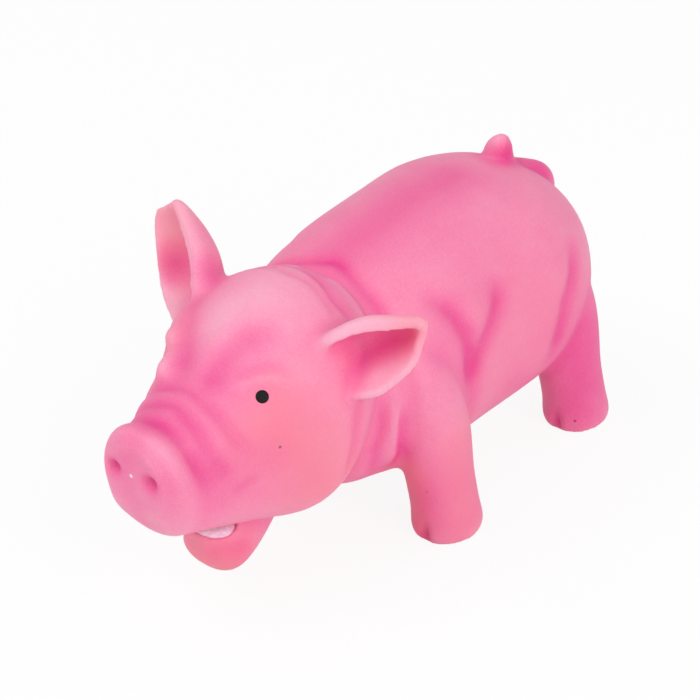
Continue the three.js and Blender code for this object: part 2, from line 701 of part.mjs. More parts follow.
const waddingInset = WALL + CLEARANCE;
const sounderRoom = atMiddle(cylinder(HOLE_DIAMETER + 2 * BEAD_HEIGHT + 2 * CLEARANCE, 0, capHigh + CLEARANCE));
const seatRoom = atMiddle(cylinder(FLANGE_DIAMETER + 2 * SEAT_RIM + 2 * CLEARANCE, 0, seatHigh + CLEARANCE));
place("body_wadding", loftOf(torsoForm, waddingInset).subtract(sounderRoom).subtract(seatRoom), polyester);
place("head_wadding", loftOf(headForm, waddingInset).subtract(torsoGrown), polyester);

export default pig;
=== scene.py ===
import math

import bpy
import numpy as np
from mathutils import Matrix, Vector


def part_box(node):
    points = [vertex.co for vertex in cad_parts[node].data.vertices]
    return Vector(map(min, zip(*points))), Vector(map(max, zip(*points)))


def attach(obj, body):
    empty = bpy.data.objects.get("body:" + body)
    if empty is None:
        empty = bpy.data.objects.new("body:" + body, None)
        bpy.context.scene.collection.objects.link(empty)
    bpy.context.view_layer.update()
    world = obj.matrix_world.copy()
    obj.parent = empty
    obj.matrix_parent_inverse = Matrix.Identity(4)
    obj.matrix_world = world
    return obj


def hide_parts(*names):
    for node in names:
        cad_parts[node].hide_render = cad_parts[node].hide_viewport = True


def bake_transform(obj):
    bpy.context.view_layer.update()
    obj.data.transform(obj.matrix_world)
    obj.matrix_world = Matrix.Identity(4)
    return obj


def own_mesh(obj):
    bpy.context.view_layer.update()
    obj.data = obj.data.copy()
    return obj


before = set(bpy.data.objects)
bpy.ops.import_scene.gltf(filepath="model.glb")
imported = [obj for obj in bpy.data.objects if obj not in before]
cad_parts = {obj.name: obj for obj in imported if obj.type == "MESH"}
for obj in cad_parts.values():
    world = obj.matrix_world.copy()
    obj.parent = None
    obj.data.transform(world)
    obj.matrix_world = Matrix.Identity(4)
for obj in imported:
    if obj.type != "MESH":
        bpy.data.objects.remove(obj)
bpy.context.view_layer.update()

# Torso: the stuffed barrel of the latex skin, fullest at the haunch, with a round seat for the sounder below.
# The master of the casting starts as a disc at the neck, extruded from ring to ring to the rump.
# A ring is its place along the pig, half width, lowest and highest point, in millimetres.

MM = 0.001
SIDES = 48  # points round a form
ACROSS = math.pi / 2  # turns a disc to stand across the pig
TORSO_FULLNESS = 2.3
TORSO = [
    (-38, 10, 42, 70),
    (-32.3, 29, 23.6, 81.5),
    (-18, 36, 19.2, 89.6),
    (4.9, 39.5, 14.6, 97.6),
    (35, 40, 14.2, 101),
    (62, 42.5, 17.4, 99.8),
    (83.6, 36.3, 20, 94),
    (98.3, 25.9, 32, 81),
    (103, 15.8, 43, 74),
    (105, 4.5, 54, 64),
]
SOUNDER_Y = 34.93
SEAT_HEIGHT = 18.9
SEAT_DIAMETER = 26.6
HOLE_DIAMETER = 20
HOLE_TOP = 26


def smooth_steps(stations, steps):
    """The stations with smooth steps between them, each column on a spline through its values."""
    table = np.array(stations, float)
    table = np.vstack([table[:1], table, table[-1:]])
    rows = []
    for before, here, after, beyond in zip(table, table[1:], table[2:], table[3:]):
        for t in np.arange(steps) / steps:
            bend = 2 * before - 5 * here + 4 * after - beyond
            twist = 3 * here - before - 3 * after + beyond
            rows.append(here + (after - before) * t / 2 + bend * t**2 / 2 + twist * t**3 / 2)
    return rows + [table[-1]]


def extrude_form(name, rings, turn=0.0, fullness=2.0):
    """A disc, extruded from ring to ring.

    A ring is a centre and half sizes along X, Y and Z, in millimetres.
    A fullness of 2 is an ellipse, and a greater one is squarer.
    """
    bpy.ops.object.select_all(action="DESELECT")
    bpy.ops.mesh.primitive_circle_add(vertices=SIDES, radius=1, fill_type="NGON", rotation=(turn, 0, 0))
    form = bpy.context.object
    form.name = name
    bpy.ops.object.transform_apply(rotation=True)
    for corner in form.data.vertices:
        corner.co = [math.copysign(abs(share) ** (2 / fullness), share) for share in corner.co]
    bpy.ops.object.mode_set(mode="EDIT")
    bpy.ops.mesh.select_all(action="SELECT")
    centre, half = rings[0]
    bpy.ops.transform.resize(value=half * MM, center_override=(0, 0, 0))
    bpy.ops.transform.translate(value=centre * MM)
    for (last_centre, last_half), (centre, half) in zip(rings, rings[1:]):
        bpy.ops.mesh.extrude_region_move(TRANSFORM_OT_translate={"value": (centre - last_centre) * MM})
        bpy.ops.transform.resize(value=half / last_half, center_override=centre * MM)
    bpy.ops.mesh.select_all(action="SELECT")
    bpy.ops.mesh.normals_make_consistent(inside=False)
    bpy.ops.object.mode_set(mode="OBJECT")
    return form


def lengthways(stations, steps=5):
    """Rings of a form that lies along the pig."""
    return [
        (np.array([0, y, (low + high) / 2]), np.array([half, 1, (high - low) / 2]))
        for y, half, low, high in smooth_steps(stations, steps)
    ]


def carve(form, cutter):
    """Cuts one closed form out of another."""
    bpy.ops.object.select_all(action="DESELECT")
    bpy.context.view_layer.objects.active = form
    bpy.ops.object.modifier_add(type="BOOLEAN")
    form.modifiers[-1].object = cutter
    form.modifiers[-1].operation = "DIFFERENCE"
    bpy.ops.object.modifier_apply(modifier=form.modifiers[-1].name)


torso = extrude_form("torso", lengthways(TORSO), turn=ACROSS, fullness=TORSO_FULLNESS)
for diameter, top in ((SEAT_DIAMETER, SEAT_HEIGHT), (HOLE_DIAMETER, HOLE_TOP)):
    bpy.ops.object.select_all(action="DESELECT")
    bpy.ops.mesh.primitive_cylinder_add(
        vertices=SIDES, radius=diameter / 2 * MM, depth=top * MM, location=(0, SOUNDER_Y * MM, top / 2 * MM)
    )
    drill = bpy.context.object
    carve(torso, drill)
    bpy.data.objects.remove(drill)

# Head: one loft from the blunt face of the snout, over the dip behind it, to the skull inside the neck.
# It is cast in one with the torso.

HEAD = [
    (-105, 11.5, 46.1, 70.8),
    (-101.8, 15.6, 40.5, 74.8),
    (-97.7, 17.6, 36.4, 74.4),
    (-93.2, 17.8, 34.4, 73.6),
    (-85.9, 20.4, 32.2, 76.4),
    (-67.7, 28, 27, 84.6),
    (-49, 36.6, 21.9, 96.2),
    (-33.6, 34, 29.8, 99.2),
    (-19.9, 24.8, 43, 93.2),
    (-14, 10, 58.2, 78.7),
]
HEAD_FULLNESS = 2.05

head = extrude_form("head", lengthways(HEAD), turn=ACROSS, fullness=HEAD_FULLNESS)

# Lower jaw: a soft scoop of latex that hangs open under the snout, solid enough to keep its shape.
# The mouth is an egg-shaped hollow between it and the snout, open to the front.

JAW = [
    (-80.6, 4.2, 19.4, 25.6),
    (-77.2, 8.5, 12.8, 28.6),
    (-68.4, 11.7, 6.4, 33),
    (-56.2, 11.2, 12.4, 38.5),
    (-47, 9.5, 22, 41.6),
]
MOUTH_PLACE = Vector((0, -72.5, 27.5))
MOUTH_SIZE = Vector((18, 14, 11))

jaw = extrude_form("jaw", lengthways(JAW), turn=ACROSS)
bpy.ops.object.select_all(action="DESELECT")
bpy.ops.mesh.primitive_uv_sphere_add(segments=32, ring_count=16, radius=0.5, location=MOUTH_PLACE * MM)
mouth = bpy.context.object
mouth.scale = MOUTH_SIZE * MM
bpy.ops.object.transform_apply(location=True, scale=True)
carve(head, mouth)
carve(jaw, mouth)
bpy.data.objects.remove(mouth)

# Legs: four short hollow columns that swell into the belly, each on a cloven foot with a flat sole.
# They are cast in one with the torso. A ring is its height, half width, half length and share of the lean.

LEG = [
    (0, 10.4, 12.2, 0),
    (3.3, 11.3, 13.3, 0.02),
    (11, 10.7, 12.7, 0.12),
    (23.3, 10.7, 12.9, 0.32),
    (38.9, 11.8, 13.6, 0.55),
    (52, 11.8, 13.4, 0.8),
    (64, 10.4, 12, 1.1),
    (74, 7, 9, 1.5),
]
LEG_LEAN = 7  # how far the leg leans inwards for a share of 1
# A leg is the place of its foot, to the left and to the back, and its rake.
LEGS = {
    "front_left_leg": (37.75, 2.8, 8),
    "front_right_leg": (-37.75, 2.8, 8),
    "hind_left_leg": (33, 86.7, 11),
    "hind_right_leg": (-33, 86.7, 11),
}


def upright(x, y, rake):
    """Rings of a leg that stands on a foot at x and y, its root ahead of the foot by the rake."""
    lean_x = math.copysign(LEG_LEAN, x)
    return [
        (np.array([x - lean * lean_x, y - lean * rake, height]), np.array([wide, long, 1]))
        for height, wide, long, lean in smooth_steps(LEG, 4)
    ]


legs = [extrude_form(name, upright(*place)) for name, place in LEGS.items()]

# Ears: thick leaves of latex, each rolled forward along its upper edge over a deep hollow.
# They are cast in one with the head, and the left one droops. A leaf starts as a grid, with one section
# all the way from the skull to the tip: from the lower edge, through the hollow, to the rolled upper edge.

# A point of the section is its share of the way across, of the hollow's depth and of the rim's stand.
EAR_SECTION = [
    (0, 0, 0),
    (0.16, 0.35, 0),
    (0.4, 0.75, 0),
    (0.65, 1, 0),
    (0.86, 0.9, 0.1),
    (0.98, 0.5, 0.5),
    (1, 0, 0.85),
    (0.93, -0.05, 1.15),
    (0.84, -0.02, 1.2),
]
# A station is its reach from the skull, lower and upper edge, depth of the hollow and stand of the rim.
EAR_STATIONS = [
    (-9, -9.5, 8.5, 6, 2.5),
    (-1, -12, 11.6, 8, 4.6),
    (10, -12.6, 13, 9, 2.2),
    (19, -9.8, 11.4, 8.4, 0.6),
    (26, -7.2, 9.8, 6, 0),
    (30.5, -4.6, 8.8, 3, 0),
    (32.7, -1.2, 7, 0.8, 0),
]
EAR_WALL = 2.6
EAR_ROOT = Vector((32.4, -43, 81.4))
EAR_POINTS = Vector((0.6994, 0.3567, 0.6194))
EAR_FACES = Vector((0.1994, -0.9296, 0.3101))
EAR_UPPER = Vector((-0.6864, 0.0933, 0.7212))
LEFT, RIGHT = 1, -1
EAR_DROOP = {LEFT: 14, RIGHT: 0}  # degrees
EAR_SIZE = {LEFT: 0.88, RIGHT: 1}
EAR_LOWER_SIZE = {LEFT: 0.8, RIGHT: 1}  # of the half below its middle line
EAR_SLANT = {LEFT: 7, RIGHT: -2}  # how much shorter the lower edge is at the tip


def mirrored(vector, side):
    """A place on the left side, or its mirror image on the right."""
    return Vector((vector[0] * side, vector[1], vector[2]))


def ear_place(side, reach, across, forward):
    """A place in an ear's own directions, on the left side of the head."""
    droop = math.radians(EAR_DROOP[side])
    points = EAR_POINTS * math.cos(droop) - EAR_UPPER * math.sin(droop)
    upper = EAR_UPPER * math.cos(droop) + EAR_POINTS * math.sin(droop)
    return EAR_ROOT + points * EAR_SIZE[side] * reach + upper * across + EAR_FACES * forward


def ear_leaf(name, side):
    """One ear, with its wall, in its place on the head."""
    section = smooth_steps(EAR_SECTION, 3)
    stations = smooth_steps(EAR_STATIONS, 4)
    bpy.ops.object.select_all(action="DESELECT")
    bpy.ops.mesh.primitive_grid_add(x_subdivisions=len(section) - 1, y_subdivisions=len(stations) - 1, size=2)
    leaf = bpy.context.object
    leaf.name = name
    for corner in leaf.data.vertices:
        share, hollow, roll = section[round((corner.co.x + 1) / 2 * (len(section) - 1))]
        reach, low, high, depth, rim = stations[round((corner.co.y + 1) / 2 * (len(stations) - 1))]
        low *= EAR_LOWER_SIZE[side]
        reach -= EAR_SLANT[side] * (1 - share) * max(reach, 0) / EAR_STATIONS[-1][0]
        spot = ear_place(side, reach, low + (high - low) * share, rim * roll - depth * hollow)
        corner.co = mirrored(spot, side) * MM
    bpy.ops.object.modifier_add(type="SOLIDIFY")
    leaf.modifiers[-1].thickness = EAR_WALL * MM
    leaf.modifiers[-1].offset = 0
    bpy.ops.object.modifier_apply(modifier=leaf.modifiers[-1].name)
    bpy.ops.object.mode_set(mode="EDIT")
    bpy.ops.mesh.select_all(action="SELECT")
    bpy.ops.mesh.normals_make_consistent(inside=False)
    bpy.ops.object.mode_set(mode="OBJECT")
    return leaf


ears = [ear_leaf("left_ear", LEFT), ear_leaf("right_ear", RIGHT)]

# Tail: a thick curl that lies in relief on the rump and ends in an upturned tip.
# It is cast in one with the torso. A point of its path is left, back and up in millimetres, and its radius.

TAIL = [
    (0, 96.5, 70.5, 4.3),
    (4.5, 98.5, 77.5, 5),
    (6, 94, 84.7, 5.8),
    (4.2, 88, 88.3, 5.4),
    (0.5, 82, 91, 5),
    (-0.6, 79.5, 97, 5.4),
    (0.8, 78.6, 101.6, 4.4),
    (2.2, 78.2, 105.2, 2),
]

curl = bpy.data.curves.new("tail", "CURVE")
curl.dimensions = "3D"
curl.bevel_depth = MM
curl.bevel_resolution = 5
curl.use_fill_caps = True
strand = curl.splines.new("POLY")
tail_steps = smooth_steps(TAIL, 4)
strand.points.add(len(tail_steps) - 1)
for knot, (x, y, z, radius) in zip(strand.points, tail_steps):
    knot.co = (x * MM, y * MM, z * MM, 1)
    knot.radius = radius
tail = bpy.data.objects.new("tail", curl)
bpy.context.scene.collection.objects.link(tail)
bpy.ops.object.select_all(action="DESELECT")
bpy.context.view_layer.objects.active = tail
tail.select_set(True)
bpy.ops.object.convert(target="MESH")

# Casting: the forms become one seamless skin, as it leaves the mould, with every join rounded.
# Folds and swellings are then pressed into the surface along paths, each laid on the nearest skin.
# The same paths guide the airbrush that sprays a deeper pink into the folds.

VOXEL = 1  # millimetres
BOTH = (LEFT, RIGHT)

bpy.ops.object.select_all(action="DESELECT")
for form in (torso, head, jaw, tail, *legs, *ears):
    form.select_set(True)
bpy.context.view_layer.objects.active = torso
bpy.ops.object.join()
casting = torso
casting.name = "latex_casting"
bpy.ops.object.modifier_add(type="REMESH")
casting.modifiers[-1].mode = "VOXEL"
casting.modifiers[-1].voxel_size = VOXEL * MM
bpy.ops.object.modifier_apply(modifier=casting.modifiers[-1].name)


def points_of(mesh):
    """The points of a mesh, in millimetres."""
    flat = np.empty(len(mesh.vertices) * 3)
    mesh.vertices.foreach_get("co", flat)
    return flat.reshape(-1, 3) / MM


def facings_of(mesh):
    """The direction in which a mesh faces at each of its points."""
    flat = np.empty(len(mesh.vertices) * 3)
    mesh.vertex_normals.foreach_get("vector", flat)
    return flat.reshape(-1, 3)


def blurred(mesh, values, rounds):
    """Values at the points of a mesh, each averaged with its neighbours a number of times."""
    ends = np.empty(len(mesh.edges) * 2, int)
    mesh.edges.foreach_get("vertices", ends)
    here = np.concatenate([ends[0::2], ends[1::2]])
    there = np.concatenate([ends[1::2], ends[0::2]])
    count = np.bincount(here, minlength=len(values))
    for _ in range(rounds):
        values = np.bincount(here, values[there], len(values)) / count
    return values


SURROUNDINGS = 6  # rounds of averaging that take in a point's surroundings
LEVELS = 10  # steps in how much a point is smoothed


def hollowness(mesh):
    """How far each point lies below the mean of its surroundings, in millimetres."""
    points = points_of(mesh)
    mean = np.stack([blurred(mesh, points[:, axis], SURROUNDINGS) for axis in range(3)], axis=1)
    return ((mean - points) * facings_of(mesh)).sum(axis=1)


def smooth_where(piece, weights, rounds):
    """Smooths the surface, most where the weights are 1."""
    group = piece.vertex_groups.new(name="smoothed")
    for level in range(1, LEVELS + 1):
        chosen = np.nonzero(np.round(weights * LEVELS) == level)[0]
        group.add(chosen.tolist(), level / LEVELS, "REPLACE")
    bpy.ops.object.modifier_add(type="SMOOTH")
    piece.modifiers[-1].factor = 0.5
    piece.modifiers[-1].iterations = rounds
    piece.modifiers[-1].vertex_group = group.name
    bpy.ops.object.modifier_apply(modifier=piece.modifiers[-1].name)
    piece.vertex_groups.clear()


def distance_to(points, path):
    """How far each point is from a path of straight runs, and how far along the path the nearest place is."""
    if len(path) == 1:
        return np.linalg.norm(points - path[0], axis=1), np.full(len(points), 0.5)
    nearest = np.full(len(points), np.inf)
    along = np.zeros(len(points))
    for run, (start, end) in enumerate(zip(path, path[1:])):
        step = end - start
        share = np.clip((points - start) @ step / (step @ step), 0, 1)
        gap = np.linalg.norm(points - start - share[:, None] * step, axis=1)
        closer = gap < nearest
        nearest[closer] = gap[closer]
        along[closer] = (run + share[closer]) / (len(path) - 1)
    return nearest, along


END_FADE = 0.2  # share of a path's length over which it fades in or out


def reach_of(points, path, width, sides=BOTH):
    """How strongly each point feels a path, 1 on it.

    A path fades at its ends, but not where it starts on the midline.
    """
    felt = np.zeros(len(points))
    for side in sides:
        spots = np.array([mirrored(spot, side) for spot in path])
        laid = [points[((points - spot) ** 2).sum(axis=1).argmin()] for spot in spots]
        gap, along = distance_to(points, laid)
        fade = np.clip((1 - along) / END_FADE, 0, 1)
        if path[0][0]:
            fade = fade * np.clip(along / END_FADE, 0, 1)
        felt = np.maximum(felt, np.exp(-((gap / width) ** 2)) * fade)
    return felt


# Joins are rounded where the skin is hollow, but the ears' leaves, the mouth and the tail keep their edges.
JOIN_HOLLOW = 0.2  # millimetres, where a join is smoothed in full
JOIN_SPREAD = 12  # rounds of averaging
LEAF_MIDDLE = [(reach, 1, -4) for reach in (5, 14, 24, 38)]
LEAF_WIDTH = 14
RIM_ROOT = (-3, 9, 5)
RIM_ROOT_WIDTH = 9
MOUTH_WIDTH = 9
TAIL_WIDTH = 7
TAIL_KEPT = 0.8
JOIN_ROUNDS = 48  # of smoothing
LEAF_ROUNDS = 6
SKIN_ROUNDS = 3

skin = points_of(casting.data)
leaves = np.zeros(len(skin))
rim_roots = np.zeros(len(skin))
for side in BOTH:
    leaf_middle = [ear_place(side, *spot) for spot in LEAF_MIDDLE]
    leaves = np.maximum(leaves, reach_of(skin, leaf_middle, LEAF_WIDTH, (side,)))
    rim_root = [ear_place(side, *RIM_ROOT)]
    rim_roots = np.maximum(rim_roots, reach_of(skin, rim_root, RIM_ROOT_WIDTH, (side,)))
curl_path = [spot[:3] for spot in TAIL]
kept = np.maximum(leaves, reach_of(skin, [MOUTH_PLACE], MOUTH_WIDTH))
kept = np.maximum(kept, TAIL_KEPT * reach_of(skin, curl_path, TAIL_WIDTH, (LEFT,)))
joins = np.clip(blurred(casting.data, hollowness(casting.data), JOIN_SPREAD) / JOIN_HOLLOW, 0, 1)
smooth_where(casting, joins * (1 - kept), JOIN_ROUNDS)
smooth_where(casting, rim_roots, JOIN_ROUNDS)
smooth_where(casting, leaves, LEAF_ROUNDS)
smooth_where(casting, np.ones(len(skin)), SKIN_ROUNDS)

# A fold is its path from the midline or from the front, its width, its depth and the spray in it.
SNOUT_FRONT = [(0, -92.6, 73), (6, -93.6, 72), (13, -94, 66), (17.6, -91.6, 58.5)]
SNOUT_MIDDLE = [(0, -85.5, 76.3), (6, -87, 74.5), (14.8, -88.6, 67.9), (18.8, -86.6, 61.4), (21, -84, 57)]
SNOUT_BACK = [(0, -80, 78.8), (4, -79.9, 78), (11.3, -80.8, 75), (18.2, -79.9, 68.4), (23.5, -76.5, 62)]
LEFT_BROW = [(7.6, -79, 77), (3.9, -72.3, 82.1), (3.2, -65.9, 85.9), (5.4, -60, 89.3), (13, -50, 93)]
RIGHT_BROW = [(2.5, -79, 79), (9.8, -70.3, 81.2), (14.9, -64.1, 83.6), (22.6, -53.2, 88.4), (26, -48, 90)]
SHOULDER_FRONT = [(27, -1.5, 87.5), (35, 7.5, 78.4), (38.2, 9.9, 71.1), (39.6, 10.9, 60), (35.4, 17, 34)]
SHOULDER_BACK = [(34.9, 31, 84), (36.7, 27.1, 74), (38, 21.2, 67.7), (39.8, 14, 61), (38.8, 11, 52)]
HAUNCH = [(35, 73, 82), (39.7, 67.8, 70.6), (41.4, 61.8, 62.2), (41.1, 58.3, 51.9), (37, 57.6, 36)]
FOLDS = [
    (SNOUT_FRONT, 2, 0.4, 0.03, BOTH),
    ([(11, -94, 69), (15.1, -93.5, 63.4), (18.6, -90.6, 56)], 2.2, 0.4, 0.1, BOTH),
    (SNOUT_MIDDLE, 1.9, 0.6, 0.14, BOTH),
    (SNOUT_BACK, 1.9, 0.6, 0.14, BOTH),
    ([(20.2, -84.9, 53.8), (22.1, -80.2, 54.7), (24.6, -75.3, 56)], 0.8, 0.7, 0.15, BOTH),
    (LEFT_BROW, 4, 0.9, 0.28, (LEFT,)),
    (RIGHT_BROW, 3, 0.6, 0.2, (RIGHT,)),
    ([(11.5, -70, 81.5), (13, -66.5, 83.5), (17.5, -61.8, 84.3), (23, -58.5, 83)], 1.4, 0.35, 0.05, (LEFT,)),
    ([(0, -9.8, 94), (12.8, -12.4, 89.5), (20.3, -14.2, 85.7), (28, -16.4, 78)], 1.8, 0.9, 0.25, BOTH),
    ([(0, -25.5, 96.8), (6.5, -27, 96.2), (16.3, -30.1, 93.9), (24.5, -30.5, 87.5)], 1.7, 0.9, 0.25, BOTH),
    ([(0, -32.8, 99), (7.8, -31.9, 98), (16.8, -34.6, 95.4), (22, -35.3, 92)], 1.4, 0.5, 0.12, BOTH),
    ([(36.6, -41, 74), (37.6, -44.6, 62.3), (37, -45.2, 55.1), (34, -46.6, 42)], 1.9, 0.9, 0.22, BOTH),
    ([(32, -25, 64), (29.6, -25.6, 51), (29.1, -26.9, 43.9), (25, -25.6, 30)], 1.9, 1, 0.25, BOTH),
    ([(34.4, -20, 58), (33.7, -18.8, 43.6), (31, -15, 29)], 2, 0.9, 0.2, BOTH),
    (SHOULDER_FRONT, 3.4, 1.4, 0.34, BOTH),
    (SHOULDER_BACK, 3.6, 1.4, 0.38, BOTH),
    (HAUNCH, 3.8, 1.6, 0.3, BOTH),
    ([(2, -80, 20), (8, -78, 21.5), (12, -71, 20), (12.5, -66, 19)], 2.6, 0.7, 0.3, BOTH),
]
# A swelling is its path, its width and its height, and a hollow where the height is below 0.
EYE = (19.1, -68.6, 78.1)
LID = [(11, -73.2, 79), (13.1, -68.9, 81.6), (17.2, -64.5, 82.8), (23.4, -60.6, 81.8)]
BROW = [(10, -81, 74), (13.5, -75, 77.6), (16, -70.6, 79.6), (19, -65, 81.3), (23.5, -58.8, 81.5)]
SWELLINGS = [
    ([(0, -89, 74.5), (10, -90, 70), (17, -88, 62)], 2.4, 0.4, BOTH),
    ([(0, -82.8, 77.6), (9, -84, 74.6), (18, -83.4, 65.4)], 2.4, 0.4, BOTH),
    ([(0, -63, 87)], 11, 1.4, BOTH),
    ([(22, -58, 82)], 10, 1.6, BOTH),
    (LID, 1.6, 0.8, (LEFT,)),
    (BROW, 3.2, 2.3, (RIGHT,)),
    ([(10, -81, 74), (16, -70.6, 79.6), (24, -58, 83), (32, -47, 84)], 6, 1.8, (RIGHT,)),
    ([EYE], 4, -2.3, (RIGHT,)),
    ([(7, -102, 72)], 6, 0.6, BOTH),
    ([(9.5, -103.5, 46.5)], 4.5, 0.6, BOTH),
    ([(0, -103, 43.5)], 6, -0.9, BOTH),
    ([(4, -18.5, 93), (10, -20, 92), (20, -22.5, 87.5), (27, -24, 82)], 3.2, 1.1, BOTH),
    ([(33.4, -22.5, 60), (32, -21.5, 47), (29.5, -20, 34)], 2.4, 1.1, BOTH),
    ([(37, 17, 75)], 6, 0.8, BOTH),
    ([(40, 76, 58)], 14, 1, BOTH),
    ([(28, 101, 50)], 12, 1.4, BOTH),
]
NOSTRILS = {LEFT: (6.8, -105, 60.5), RIGHT: (8.4, -104.6, 60.5)}
NOSTRIL_DEPTH = 3.6
NOSTRIL_WIDTH = 2.5
NOSTRIL_RIM_HEIGHT = 0.9
NOSTRIL_RIM_WIDTH = 4.6
TOE_CLEFT_DEPTH = 2.6
TOE_CLEFT_WIDTH = 1.7
TOE_CLEFT_HEIGHT = 10
TOE_CLEFT_FADE = 6  # the part of its height over which it fades out
TOE_REACH = 16  # from the middle of a foot
FRONT_LOW, FRONT_HIGH = 0.3, 0.8  # how far skin faces forward where a cleft begins, and where it is full

skin = points_of(casting.data)
facing = facings_of(casting.data)
relief = np.zeros(len(skin))
for path, width, depth, _, sides in FOLDS:
    relief -= depth * reach_of(skin, path, width, sides)
for path, width, height, sides in SWELLINGS:
    relief += height * reach_of(skin, path, width, sides)
for side, nostril in NOSTRILS.items():
    relief += NOSTRIL_RIM_HEIGHT * reach_of(skin, [nostril], NOSTRIL_RIM_WIDTH, (side,))
    relief -= NOSTRIL_DEPTH * reach_of(skin, [nostril], NOSTRIL_WIDTH, (side,))
for x, y, _ in LEGS.values():
    on_foot = np.hypot(skin[:, 0] - x, skin[:, 1] - y) < TOE_REACH
    in_front = np.clip((-facing[:, 1] - FRONT_LOW) / (FRONT_HIGH - FRONT_LOW), 0, 1)
    low_down = np.clip((TOE_CLEFT_HEIGHT - skin[:, 2]) / TOE_CLEFT_FADE, 0, 1)
    cleft = np.exp(-(((skin[:, 0] - x) / TOE_CLEFT_WIDTH) ** 2))
    relief -= TOE_CLEFT_DEPTH * cleft * in_front * low_down * on_foot
skin = skin + facing * relief[:, None]
casting.data.vertices.foreach_set("co", (skin * MM).ravel())
casting.data.update()
smooth_where(casting, np.ones(len(skin)), rounds=1)
bpy.ops.object.shade_smooth()

# A patch is its path, its width and its strength, and paler where the strength is below 0. Most are spray,
# and some are painted shade and painted highlight.
PATCHES = [
    ([(0, -86, 75)], 15, 0.22, BOTH),
    ([(0, -99, 74.5)], 9, 0.3, BOTH),
    ([(17, -88, 60)], 12, 0.25, BOTH),
    ([(8, -104, 61)], 6, 0.25, BOTH),
    ([(0, -8, 95), (0, 20, 100), (0, 45, 101.5), (0, 66, 100)], 11, 0.3, (LEFT,)),
    # Painted highlight: the forehead, more on its right side, is made paler where the broad highlight falls.
    ([(0, -48, 97)], 16, -0.22, BOTH),
    ([(8, -58, 90)], 8, -0.2, (RIGHT,)),
    ([(24, -70, 64)], 10, 0.22, BOTH),
    ([(39, 40, 30)], 16, 0.2, BOTH),
    ([(38, 84, 66), (40, 77, 46), (40, 76, 28), (39, 75, 8), (34, 80, 0), (30, 92, 0)], 16, 0.45, BOTH),
    ([(32, 98, 60), (34, 98, 36), (34, 99, 16), (34, 97, 2), (34, 86, 0)], 14, 0.3, BOTH),
    ([(40, -4, 66)], 10, 0.12, BOTH),
    # Painted shade: the chest and the front of each front leg are sprayed deeper where shade falls.
    ([(26, -14, 26)], 14, 0.75, BOTH),
    ([(33, -8, 30), (33, -9, 16), (33, -9, 4), (36, 0, 0), (38, 8, 0)], 9, 0.65, BOTH),
    ([(44, 4, 44), (46, 4, 24), (46, 4, 6), (40, 2, 0)], 14, 0.14, BOTH),
    # Painted shade: the jaw, under the snout and inside the lower lip, is sprayed deeper.
    ([(0, -74, 12)], 16, 0.35, BOTH),
    (curl_path, 6, 0.3, (LEFT,)),
    ([(4.5, 78.5, 101)], 5, 0.6, (LEFT,)),
    ([(8.6, 92, 90)], 7, 0.3, (LEFT,)),
]
# The same on an ear: the side, the path as reach, across and forward, the width and the strength.
EAR_PATCHES = [
    (LEFT, [(30, 8, -3), (20.7, 5.3, -6.7), (11.6, 3.8, -7.5), (3.4, 0.9, -5.9), (-4, -6, 2)], 4, 0.38),
    (LEFT, [(1, -6, -3.5), (8.6, -5.3, -3.3), (17, -5, -3), (28, -2, -3)], 4.5, -0.4),
    (LEFT, [(-6, 10, 6), (8, 13, 3), (20, 11, 1), (38, 7, 0)], 3, -0.55),
    # Painted light: the tip of the right ear is made paler to lift the shade on it.
    (RIGHT, [(29, 1, -1.5)], 8, -0.6),
    (RIGHT, [(17, -5, -2.5)], 6.5, 0.5),
    (RIGHT, [(5.4, -9, -0.4)], 6, -0.4),
    (RIGHT, [(4.4, 13.9, 1.9)], 6, 0.4),
]

BARE_SPRAY = 0.42  # on level skin
HOLLOW_SPRAY = 0.9  # more for each millimetre of hollow
HOLLOW_SPREAD = 4  # rounds of averaging
FOLD_SPRAY_WIDTH = 1.7  # times the width of the fold
SPRAY_SPREAD = 3  # rounds of averaging

skin = points_of(casting.data)
facing = facings_of(casting.data)
# Besides the airbrushed pink, this carries the painted shade and painted highlight of some patches.
spray_and_painted_light = BARE_SPRAY + HOLLOW_SPRAY * blurred(casting.data, hollowness(casting.data), HOLLOW_SPREAD)
for path, width, _, strength, sides in FOLDS:
    spray_and_painted_light += strength * reach_of(skin, path, FOLD_SPRAY_WIDTH * width, sides)
for path, width, strength, sides in PATCHES:
    spray_and_painted_light += strength * reach_of(skin, path, width, sides)
for side, path, width, strength in EAR_PATCHES:
    spray_and_painted_light += strength * reach_of(skin, [ear_place(side, *spot) for spot in path], width, (side,))
spray_and_painted_light = np.clip(blurred(casting.data, spray_and_painted_light, SPRAY_SPREAD), 0, 1)
casting.data.attributes.new("spray_and_painted_light", "FLOAT", "POINT").data.foreach_set("value", spray_and_painted_light)

# A warm patch shows the salmon of the bare latex through the spray; on the jaw, chest and front legs it is
# painted shade. It is its path, its width and its strength.
WARM_AND_SHADED_PATCHES = [
    # Painted shade: the jaw under the snout.
    ([(0, -74, 14)], 18, 0.75),
    ([ear_place(RIGHT, 27, 2, -2)], 12, 0.5),
    ([(14, -76, 84), (24, -68, 72), (30, -60, 58), (32, -54, 44), (28, -50, 24)], 16, 0.55),
    ([(44, 0, 54), (46, 0, 30), (46, 0, 8), (38, 2, 0)], 12, 0.4),
    # Painted shade: the chest and the front of each front leg.
    ([(26, -14, 26)], 12, 0.4),
    ([(33, -8, 40), (34, -10, 26), (34, -10, 10), (34, -4, 0)], 8, 0.6),
    ([(40, 40, 60)], 24, 0.15),
]
warmth_and_painted_shade = np.zeros(len(skin))
for path, width, strength in WARM_AND_SHADED_PATCHES:
    warmth_and_painted_shade = np.maximum(warmth_and_painted_shade, strength * reach_of(skin, path, width))
casting.data.attributes.new("warmth_and_painted_shade", "FLOAT", "POINT").data.foreach_set("value", warmth_and_painted_shade)

